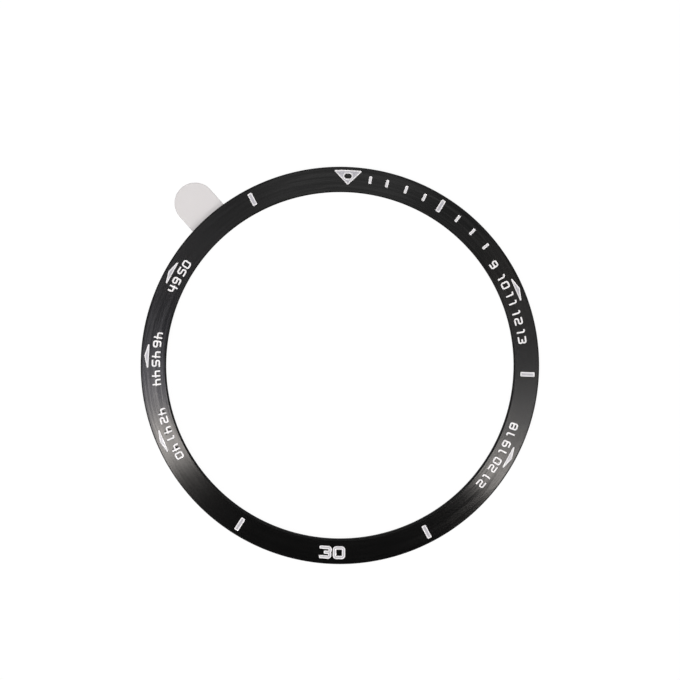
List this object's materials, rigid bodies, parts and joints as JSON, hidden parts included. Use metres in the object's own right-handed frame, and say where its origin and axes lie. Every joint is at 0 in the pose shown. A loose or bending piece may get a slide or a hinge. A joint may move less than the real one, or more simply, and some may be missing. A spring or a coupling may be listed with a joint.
{
  "type": "watch bezel ring",
  "caption": "Thin stick-on metal bezel ring with an engraved minute track filled with white enamel, backed by tape and a release liner with a folding pull tab.",
  "frame": {"origin": "on the ring's axis, at the back face of the metal, where the ring is glued down", "axes": "+Z along the ring's axis out of the engraved face; +Y towards the zero triangle; +X towards the bar at fifteen minutes"},
  "size_m": [0.0465, 0.0464, 0.0015],
  "materials": {
    "black_metal": "stainless steel with a black coating, its sloping face brushed in circles",
    "white_enamel": "white epoxy enamel filled into the engraving, satin",
    "glue": "clear, slightly yellow acrylic glue",
    "tape_film": "clear polyester film",
    "liner_film": "milky polyester film, slightly see-through, satin"
  },
  "bodies": {
    "liner": {"release_liner": "liner_film"},
    "bezel": {"bezel_ring": "black_metal", "zero_triangle": "white_enamel", "tick_01": "white_enamel", "tick_02": "white_enamel", "tick_03": "white_enamel", "tick_04": "white_enamel", "tick_06": "white_enamel", "tick_07": "white_enamel", "tick_08": "white_enamel", "bar_05": "white_enamel", "bar_15": "white_enamel", "bar_25": "white_enamel", "bar_35": "white_enamel", "bar_55": "white_enamel", "arrow_upper_right": "white_enamel", "arrow_lower_right": "white_enamel", "arrow_lower_left": "white_enamel", "arrow_left": "white_enamel", "arrow_upper_left": "white_enamel", "upper_glue": "glue", "carrier_film": "tape_film", "lower_glue": "glue"},
    "tab": {"pull_tab": "liner_film"}
  },
  "joints": [
    {"name": "liner_peel", "type": "slide", "parent": "liner", "child": "bezel", "axis": [0, 0, 1], "range_m": [0, 0.01]},
    {"name": "tab_fold", "type": "hinge", "parent": "liner", "child": "tab", "pos_m": [-0.01639, 0.01698, -0.0002], "axis": [0.7193, 0.6947, 0], "range_deg": [-120, 90]}
  ]
}
